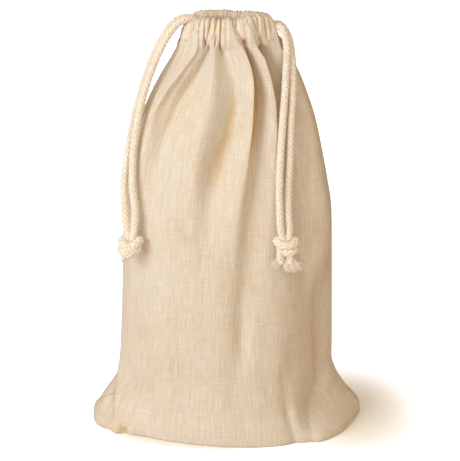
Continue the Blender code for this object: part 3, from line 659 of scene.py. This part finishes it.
class Rings:
    """Gathers tubes into one mesh."""

    def __init__(self):
        self.points, self.faces, self.maps, self.count = [], [], [], 0

    def add(self, rings, along, girth):
        """A closed tube through rings of points (ring, point, xyz)."""
        many, sides = rings.shape[:2]
        number = self.count + np.arange(many * sides).reshape(many, sides)
        following = np.roll(number, -1, axis=1)
        quads = np.stack([number[:-1], following[:-1], following[1:], number[1:]], axis=-1).reshape(-1, 4)
        self.faces += [tuple(map(int, quad)) for quad in quads]
        self.faces += [tuple(map(int, number[0][::-1])), tuple(map(int, number[-1]))]
        turn = np.arange(sides) * girth / sides
        values = np.empty((len(quads), 4, 2))
        values[:, 0, 0] = values[:, 3, 0] = np.tile(turn, many - 1)
        values[:, 1, 0] = values[:, 2, 0] = np.tile(turn + girth / sides, many - 1)
        values[:, 0, 1] = values[:, 1, 1] = np.repeat(along[:-1], sides)
        values[:, 2, 1] = values[:, 3, 1] = np.repeat(along[1:], sides)
        self.maps.append(np.concatenate([values.reshape(-1, 2), np.zeros((2 * sides, 2))]))
        self.points.append(rings.reshape(-1, 3))
        self.count += many * sides

    def build(self, name, node, material, slot="cotton_cord"):
        data = bpy.data.meshes.new(name)
        data.from_pydata(np.concatenate(self.points).tolist(), [], self.faces)
        uv = data.uv_layers.new(name="cloth")
        uv.data.foreach_set("uv", np.concatenate(self.maps).astype(np.float32).ravel())
        data.materials.append(material)
        data.polygons.foreach_set("use_smooth", [len(face) == 4 for face in self.faces])
        piece = add_object(name, data)
        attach(piece, "root")
        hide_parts(node)
        return piece


def add_tube(rings, path, radius, sides):
    """A plain tube, with one radius or one for each of the path's points."""
    one, two = frames_along(path)
    angles = np.linspace(0, math.tau, sides, endpoint=False)
    reach = np.broadcast_to(radius, len(path))[:, None, None]
    ring = np.cos(angles)[None, :, None] * one[:, None] + np.sin(angles)[None, :, None] * two[:, None]
    rings.add(path[:, None] + reach * ring, run_along(path), math.tau * float(np.max(radius)))


def add_braid(rings, route, share=1.0, spacing=0.75 * MM):
    """A braided cord along a route, this share of the full thickness. It returns the middle line."""
    path = smooth_path(route, spacing)
    one, two = frames_along(path)
    run = run_along(path)
    add_tube(rings, path, CORE_RADIUS * share, 10)
    angles = np.linspace(0, math.tau, 8, endpoint=False)
    for way in (-1, 1):
        for strand in range(STRANDS):
            turn = way * math.tau * run / LAY + strand * math.tau / STRANDS
            radial = np.cos(turn)[:, None] * one + np.sin(turn)[:, None] * two
            weave = way * WEAVE * np.cos(2 * STRANDS * math.tau * run / LAY / 2)
            reach = (STRAND_RADIUS + weave) * share
            middle = path + reach[:, None] * radial
            across = np.cross(unit(np.gradient(middle, axis=0)), radial)
            ring = (
                STRAND_THICK * share * np.cos(angles)[None, :, None] * radial[:, None]
                + STRAND_WIDE * share * np.sin(angles)[None, :, None] * across[:, None]
            )
            rings.add(middle[:, None] + ring, run_along(middle), 6 * MM)
    return path


def add_fuzz(rings, path, count):
    """Short loose fibres on a cord."""
    one, two = frames_along(path)
    for _ in range(count):
        at = rng.integers(1, len(path) - 1)
        turn = rng.uniform(0, math.tau)
        out = math.cos(turn) * one[at] + math.sin(turn) * two[at]
        aside = rng.normal(0, 0.8, 3)
        root = path[at] + out * 2.2 * MM
        length = rng.uniform(0.35, 1.0) * LONGEST_FUZZ
        bend = rng.normal(0, 0.35, 3)
        steps = np.linspace(0, 1, 3)[:, None]
        hair = root + (unit(out + 0.5 * aside) * steps + bend * steps**2) * length
        add_tube(rings, hair, np.array([0.055, 0.045, 0.02]) * MM, 3)


def add_lock(rings, root, tip, curl, thick):
    """A curly lock of yarn from a root to a tip."""
    root, tip = np.array(root) * MM, np.array(tip) * MM
    steps = np.linspace(0, 1, 9)[:, None]
    swing = rng.normal(0, 1, 3) * np.sin(steps * rng.uniform(2.5, 6.0) + rng.uniform(0, 3)) * steps
    path = root + (tip - root) * steps + swing * curl * MM
    add_tube(rings, path, np.linspace(1.0, 0.55, 9) * thick * MM, 5)


def tassel(rings, middle, ends):
    """Locks from between two roots to between two tips, as a cord's end frays."""
    roots, tips = middle + ends.roots, middle + ends.tips
    for _ in range(ends.locks):
        share, other = rng.uniform(0, 1), rng.normal(0, 0.7, 3)
        root = roots[0] + (roots[1] - roots[0]) * share + 0.5 * other
        tip = tips[0] + (tips[1] - tips[0]) * share + rng.normal(0, 1.0, 3)
        add_lock(rings, root, tip, rng.uniform(0.2, 0.9), ends.thick * rng.uniform(0.6, 1.1))


def placed(middle, points):
    """A knot's points, given in mm from its middle, as places in metres."""
    return [middle + Vector(point) * MM for point in points]


# The knots' wraps, in mm from each knot's middle.
LEFT_WRAPS = (
    ((-2, -3.6, 0.4), (1.6, -5.2, 1.2), (4.6, -4.4, 2.6), (6.6, -1, 3.8), (4.5, 3, 3)),
    ((-3.6, 3.4, 3.6), (-5.6, -0.4, 3.8), (-3.8, -4.6, 2.4), (-0.4, -6.2, 0.2), (3.2, -5.4, -1.4),
     (5.2, -2, -2.2), (4, 2.5, -2)),
    ((-4, 3, -1.6), (-6.8, -0.8, -2.4), (-5, -4.6, -3.2), (-1.2, -5.6, -4.2), (2.4, -4.2, -4.2),
     (4, -0.4, -3.6), (2, 3, -3)),
)
LEFT_TAIL = ((-2.2, -3, -4.4), (-4, -3.2, -7), (-4.8, -3, -9.4))
RIGHT_WRAPS = (
    ((-3, 4, 5), (-6.3, -0.4, 5.6), (-3.8, -4.6, 4.2), (0.6, -5.8, 3.7), (4.8, -4.4, 4.3),
     (6.8, -0.2, 5.2), (3.4, 4, 4.6)),
    ((2, 3.5, 0.6), (6.4, -0.6, 0), (4.6, -4.4, -0.8), (0.8, -5.2, -1.6), (-2.4, -3.2, -0.8),
     (-4, 0.4, 0.6)),
)
RIGHT_TAILS = (
    ((-2.6, -2, 2), (-4.2, -4.2, -1), (-4.3, -4.8, -5), (-3.4, -4.6, -9.4)),
    ((1.8, -2.6, -1), (2.6, -4.4, -5), (3.4, -4.6, -9.6)),
)
CURL = ((2, -1.5, 6.2), (2.3, -2.4, 8.8), (3.4, -2.6, 9.4), (4.2, -2.2, 8.2), (4.2, -1.4, 6.2))
# Frayed ends: the two roots and two tips that the locks of yarn lie between, how many locks there are
# and how thick each is (mm).
Tassel = namedtuple("Tassel", "roots tips locks thick")
LEFT_TASSELS = rows_of(Tassel, (
    (((-5.8, -3, -7.6), (-3.6, -3, -8.6)), ((-7, -3.2, -10.6), (-3.8, -3.2, -12)), 40, 0.26),
))
RIGHT_TASSELS = rows_of(Tassel, (
    (((-2, -4.8, -7), (5.4, -4.8, -8)), ((0.4, -5.2, -14.6), (8.4, -4.8, -15)), 130, 0.42),
    (((4.6, -4.6, -6.5), (5.2, -4.4, -9.5)), ((9.2, -4.6, -10.6), (10.4, -4.4, -14.6)), 60, 0.36),
    (((-4.4, -4.6, -4.6), (-4.2, -4.8, -9)), ((-9.4, -4.8, -8.6), (-6.6, -5, -12.6)), 60, 0.30),
))


# --- Materials ---

WARP, WEFT = 0.62 * MM, 0.70 * MM  # the spacing of the cloth's upright and level threads
CHANNEL_FROM = 0.352  # how far up the cloth its channel begins, where it's doubled; from there up it is painted lighter, as painted light


class Graph:
    """Makes a material's nodes."""

    def __init__(self, name):
        self.material = bpy.data.materials.new(name)
        self.material.use_nodes = True
        self.nodes, self.links = self.material.node_tree.nodes, self.material.node_tree.links
        self.shader = self.nodes["Principled BSDF"]

    def fill(self, node, inputs):
        """Sets a node's inputs, each to a value or another node's output."""
        for place, value in inputs.items():
            if isinstance(value, bpy.types.NodeSocket):
                self.links.new(value, node.inputs[place])
            else:
                node.inputs[place].default_value = value
        return node

    def node(self, kind, inputs=(), **settings):
        made = self.nodes.new("ShaderNode" + kind)
        for name, value in settings.items():
            setattr(made, name, value)
        return self.fill(made, dict(inputs))

    def maths(self, operation, *values):
        return self.node("Math", dict(enumerate(values)), operation=operation).outputs[0]

    def times(self, one, two):
        return self.maths("MULTIPLY", one, two)

    def noise(self, place, scale, detail=2.0, roughness=0.5, stretch=None):
        """Noise from 0 to 1 round 0.5, finer along the axes that are stretched more."""
        if stretch:
            place = self.node("Mapping", {"Vector": place, "Scale": stretch}).outputs[0]
        values = {"Vector": place, "Scale": scale, "Detail": detail, "Roughness": roughness}
        return self.node("TexNoise", values).outputs["Fac"]

    def between(self, value, low, high, to_low=0.0, to_high=1.0):
        values = {"Value": value, "From Min": low, "From Max": high, "To Min": to_low, "To Max": to_high}
        return self.node("MapRange", values).outputs[0]

    def blend(self, share, one, two, kind="MIX"):
        values = {0: share, 6: one, 7: two}
        return self.node("Mix", values, data_type="RGBA", blend_type=kind).outputs[2]

    def tinted(self, share, colour, tint):
        """The colour, multiplied by a tint to this share."""
        return self.blend(share, colour, self.blend(1.0, colour, tint, "MULTIPLY"))

    def wave(self, place, offset, pitch):
        """A sine that crosses zero once for each pitch."""
        along = self.maths("ADD", place, offset)
        return self.maths("SINE", self.times(along, math.pi / pitch))

    def bump(self, height, distance, strength, normal=None):
        values = {"Height": height, "Distance": distance, "Strength": strength}
        if normal:
            values["Normal"] = normal
        return self.node("Bump", values).outputs[0]

    def finish(self, colour, roughness, normal, sheen, soft=()):
        """The material. Soft is how much light gets in under the surface, how far and its scale."""
        looks = {"Base Color": colour, "Roughness": roughness, "Normal": normal}
        gloss = {"Specular IOR Level": 0.2, "Sheen Weight": sheen, "Sheen Roughness": 0.6}
        depth = zip(("Subsurface Weight", "Subsurface Radius", "Subsurface Scale"), soft)
        self.fill(self.shader, {**looks, **gloss, **dict(depth)})
        return self.material


def cloth_material():
    """Unbleached plain-weave cotton with uneven, slubby threads and a few seed flecks."""
    graph = Graph("unbleached_cotton_cloth")
    place = graph.node("UVMap", uv_map="cloth").outputs[0]
    part = graph.node("SeparateXYZ", {0: place})
    drift = graph.maths("SUBTRACT", graph.noise(place, 90.0), 0.5)
    drift = graph.times(drift, 0.9 * MM)
    warp = graph.wave(part.outputs[0], drift, WARP)
    weft = graph.wave(part.outputs[1], drift, WEFT)
    above = graph.times(graph.times(warp, weft), 0.42)
    warp_height = graph.times(graph.maths("ABSOLUTE", warp), graph.maths("ADD", above, 0.58))
    weft_height = graph.times(graph.maths("ABSOLUTE", weft), graph.maths("SUBTRACT", 0.58, above))
    weave = graph.maths("MAXIMUM", warp_height, weft_height)
    upright = graph.noise(place, 1.0, 3.0, 0.7, (900, 48, 1))
    level = graph.noise(place, 1.0, 3.0, 0.7, (80, 1150, 1))
    slubs = graph.maths("ADD", graph.times(upright, 0.60), graph.times(level, 0.40))
    patches = graph.noise(place, 26.0, 3.0, 0.6)
    broad = graph.noise(place, 9.0, 2.0, 0.5)
    thin = (0.66, 0.595, 0.505, 1)
    full = (0.895, 0.865, 0.825, 1)
    colour = graph.blend(graph.between(slubs, 0.33, 0.67), thin, full)
    # painted shade: the gaps between the threads are painted darker and warmer
    on_thread = graph.between(weave, 0.15, 0.75)
    colour = graph.blend(on_thread, graph.blend(1.0, colour, (0.80, 0.74, 0.66, 1), "MULTIPLY"), colour)
    colour = graph.tinted(graph.between(patches, 0.36, 0.66), colour, (1.0, 0.965, 0.93, 1))
    colour = graph.tinted(graph.between(broad, 0.4, 0.7), colour, (0.975, 0.95, 0.90, 1))
    # painted shade: the bottoms of deep and narrow folds are painted darker and amber
    fold_shade = graph.node("Attribute", attribute_name="painted_fold_shade").outputs["Fac"]
    colour = graph.tinted(fold_shade, colour, (0.86, 0.66, 0.34, 1))
    # painted light: the channel is painted lighter than the wall below it
    in_channel = graph.between(part.outputs[1], CHANNEL_FROM, CHANNEL_FROM + 4 * MM)
    colour = graph.tinted(in_channel, colour, (1.11, 1.11, 1.12, 1))
    flecks = graph.node("TexVoronoi", {"Vector": place, "Scale": 120.0, "Randomness": 1.0})
    fleck = graph.between(flecks.outputs["Distance"], 0.035, 0.055, 1.0, 0.0)
    some = graph.between(graph.noise(place, 60.0), 0.56, 0.60)
    colour = graph.blend(graph.times(fleck, some), colour, (0.42, 0.30, 0.18, 1))
    normal = graph.bump(slubs, 0.35 * MM, 0.55)
    normal = graph.bump(weave, 0.16 * MM, 0.6, normal)
    roughness = graph.between(slubs, 0.3, 0.7, 0.97, 0.86)
    return graph.finish(colour, roughness, normal, 0.12, (0.35, (1.0, 0.62, 0.34), 2.2 * MM))


def cord_material():
    """Soft white cotton yarn, whose fibres run along each strand."""
    graph = Graph("braided_cotton_cord")
    place = graph.node("UVMap", uv_map="cloth").outputs[0]
    fibres = graph.noise(place, 1.0, 3.0, 0.6, (3800, 420, 1))
    space = graph.node("NewGeometry").outputs["Position"]
    patches = graph.noise(space, 110.0, 2.0, 0.5)
    colour = graph.blend(graph.between(fibres, 0.3, 0.7), (0.89, 0.79, 0.66, 1), (0.98, 0.93, 0.84, 1))
    colour = graph.tinted(graph.between(patches, 0.4, 0.65), colour, (0.985, 0.95, 0.90, 1))
    normal = graph.bump(fibres, 0.12 * MM, 0.5)
    roughness = graph.between(fibres, 0.3, 0.7, 0.95, 0.85)
    return graph.finish(colour, roughness, normal, 0.2, (0.3, (1.0, 0.7, 0.45), 1.5 * MM))


cotton = cloth_material()
cord_cotton = cord_material()

for name, side in (("front_panel", FRONT), ("back_panel", BACK)):
    grid, rows, depth = panel_grid(side)
    cloth = cloth_object(name + "_cloth", grid, rows, depth, cotton)
    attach(cloth, "root")
    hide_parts(name)


def cord_pieces(name, knot, front_strand, back_strand, height, end):
    """A cord's two hanging strands, and its run from one end of the channels (-1 left, 1 right),
    round behind and back.
    """
    count = round(SWEEP / TURN_STEP)
    turns = [end * (FIRST_TURN - SWEEP * n / count) for n in range(count + 1)]
    loop = [channel_line(turn, height) for turn in turns]
    front = [loop[1], loop[0]] + placed(Vector(), front_strand) + [knot]
    back = [loop[-2], loop[-1]] + placed(Vector(), back_strand) + [knot]
    for part, points in (("front", front), ("back", back)):
        rings = Rings()
        path = add_braid(rings, points)
        add_fuzz(rings, path, STRAND_FUZZ)
        strand = rings.build(f"{name}_{part}", name, cord_cotton)
    rings = Rings()
    squeezed = [place - Vector((0, 0, CHANNEL_SAG)) for place in loop[1:-1]]
    add_braid(rings, squeezed, CHANNEL_SHARE, HIDDEN_SPACING)
    rings.build(f"{name}_loop", name, cord_cotton)


def knot_rings(middle, wraps, share, tails, tail_share, tail_fuzz, tassels):
    """A tied knot: its wraps, its tails and their frayed ends."""
    rings = Rings()
    for points in wraps:
        add_fuzz(rings, add_braid(rings, placed(middle, points), share, KNOT_SPACING), WRAP_FUZZ)
    for points in tails:
        add_fuzz(rings, add_braid(rings, placed(middle, points), tail_share, KNOT_SPACING), tail_fuzz)
    for ends in tassels:
        tassel(rings, np.array(middle) / MM, ends)
    return rings


def left_seam_shade():
    """The line of the corner's seam on the left ear, a dark amber tube of painted crease shade."""
    seam_shade = Graph("seam_crease_shade")
    fibres = seam_shade.noise(seam_shade.node("UVMap", uv_map="cloth").outputs[0], 1.0, 2.0, 0.6, (2600, 900, 1))
    colour = seam_shade.blend(fibres, (0.50, 0.33, 0.15, 1), (0.72, 0.54, 0.33, 1))
    rough = seam_shade.between(fibres, 0.3, 0.7, 0.95, 0.85)
    normal = seam_shade.bump(fibres, 0.05 * MM, 0.5)
    places = [
        panel_grid(FRONT, np.array([[around]], float), [Row(height * MM, 1.0, 0.0, 0.0)])[0][0, 0]
        for around, height in LEFT_SEAM
    ]
    rings = Rings()
    add_tube(rings, smooth_path(places, 0.6 * MM), SEAM_RADIUS, 6)
    material = seam_shade.finish(colour, rough, normal, 0.1)
    rings.build("left_seam_shade", "front_panel", material, "unbleached_cotton")


left_seam_shade()
cord_pieces("cord_left", LEFT_KNOT, LEFT_FRONT_STRAND, LEFT_BACK_STRAND, UPPER_CORD, -1)
cord_pieces("cord_right", RIGHT_KNOT, RIGHT_FRONT_STRAND, RIGHT_BACK_STRAND, LOWER_CORD, 1)
knot = knot_rings(LEFT_KNOT, LEFT_WRAPS, 1.15, (LEFT_TAIL,), 0.75, 0, LEFT_TASSELS)
knot.build("knot_left_wraps", "knot_left", cord_cotton)
knot = knot_rings(RIGHT_KNOT, RIGHT_WRAPS, 1.1, RIGHT_TAILS, 0.95, TAIL_FUZZ, RIGHT_TASSELS)
add_tube(knot, smooth_path(placed(RIGHT_KNOT, CURL), 0.4 * MM), CURL_RADIUS, 6)
knot.build("knot_right_wraps", "knot_right", cord_cotton)

# --- Studio ---

FLOOR = 6.0  # half the floor's side
FLOOR_CORNERS = ((-1, -1), (1, -1), (1, 1), (-1, 1))
# Where the floor keeps its shade (m): an ellipse's middle and half axes, and the share of it at which
# the paper starts to turn plain white. One lies at the bag's right, the other close round its base.
SHADE_ZONES = (((0.090, -0.004), (0.112, 0.135), 0.15), ((0.0, 0.0), (0.108, 0.063), 0.88))
data = bpy.data.meshes.new("floor")
data.from_pydata([(x * FLOOR, y * FLOOR, 0) for x, y in FLOOR_CORNERS], [], [(0, 1, 2, 3)])
floor = add_object("floor", data)


def white_unless_lit_by(tree, seen, other):
    """Joins two shaders: one where the camera sees the surface, the other for the light it gives."""
    path = tree.nodes.new("ShaderNodeLightPath")
    mix = tree.nodes.new("ShaderNodeMixShader")
    tree.links.new(path.outputs["Is Camera Ray"], mix.inputs[0])
    tree.links.new(other.outputs[0], mix.inputs[1])
    tree.links.new(seen.outputs[0], mix.inputs[2])
    return mix


def white_beyond(graph, place, middle, reach, start):
    """0 inside an ellipse on the floor, rising to 1 from a share of its half axes to its edge."""
    offset = graph.node("VectorMath", {0: place, 1: (*middle, 0)}, operation="SUBTRACT").outputs[0]
    share = graph.node("VectorMath", {0: offset, 1: (*reach, 1)}, operation="DIVIDE").outputs[0]
    away = graph.node("VectorMath", {0: share}, operation="LENGTH").outputs["Value"]
    values = {"Value": away, "From Min": start, "From Max": 1.0}
    return graph.node("MapRange", values, interpolation_type="SMOOTHSTEP").outputs[0]


def floor_paper():
    """White paper that keeps a shadow near the bag and is plain white further out."""
    graph = Graph("floor_white")
    matt = {"Roughness": 1.0, "Specular IOR Level": 0.0}
    graph.fill(graph.shader, {"Base Color": (0.74, 0.64, 0.52, 1), **matt})
    place = graph.node("NewGeometry").outputs["Position"]
    white = graph.maths("MINIMUM", *(white_beyond(graph, place, *zone) for zone in SHADE_ZONES))
    glow = graph.blend(white, (0.10, 0.095, 0.08, 1), (1.2, 1.25, 1.4, 1))
    values = {"Base Color": (0.93, 0.95, 0.97, 1), "Emission Color": glow, "Emission Strength": 1.0}
    paper = graph.node("BsdfPrincipled", {**values, **matt})
    mixed = white_unless_lit_by(graph.material.node_tree, paper, graph.shader)
    graph.links.new(mixed.outputs[0], graph.nodes["Material Output"].inputs["Surface"])
    return graph.material


data.materials.append(floor_paper())


def soft_box(name, place, target, size, power, colour):
    light = bpy.data.lights.new(name, "AREA")
    light.shape = "SQUARE"
    light.size = size
    light.energy = power
    light.color = colour
    lamp = add_object(name, light)
    lamp.location = place
    lamp.rotation_euler = (Vector(target) - Vector(place)).to_track_quat("-Z", "Y").to_euler()


soft_box("key", (-1.28, -0.98, 0.66), (0, 0, 0.10), 1.0, 17.0, (0.87, 0.94, 1.0))
soft_box("front fill", (0.3, -1.80, 0.8), (0, 0, 0.12), 1.2, 12, (1.0, 0.93, 0.84))
soft_box("top", (-0.2, -0.7, 1.9), (0, 0, 0.0), 1.4, 7.5, (1.0, 0.87, 0.66))

world = bpy.data.worlds.new("studio")
world.use_nodes = True
tree = world.node_tree
fill = tree.nodes["Background"]
fill.inputs["Color"].default_value = (1.0, 0.69, 0.40, 1)
fill.inputs["Strength"].default_value = 0.36
white = tree.nodes.new("ShaderNodeBackground")
white.inputs["Color"].default_value = (1, 1, 1, 1)
mixed = white_unless_lit_by(tree, white, fill)
tree.links.new(mixed.outputs[0], tree.nodes["World Output"].inputs["Surface"])
bpy.context.scene.world = world
bpy.context.scene.view_settings.view_transform = "Standard"

PITCH, YAW = math.radians(19.69), math.radians(3.4)
DISTANCE, EYE, ASIDE = 0.900, 0.470, 0.0022  # from the bag, over the floor and to the right
SENSOR, LENS = 36, 102.4  # mm
camera = bpy.data.cameras.new("camera")
camera.sensor_width = SENSOR
camera.lens = LENS
camera.clip_start = 0.01
view = add_object("camera", camera)
view.location = (
    ASIDE * math.cos(YAW) - DISTANCE * math.sin(YAW),
    -DISTANCE * math.cos(YAW) - ASIDE * math.sin(YAW),
    EYE,
)
view.rotation_euler = (math.pi / 2 - PITCH, 0, -YAW)
bpy.context.scene.camera = view

bpy.context.view_layer.update()
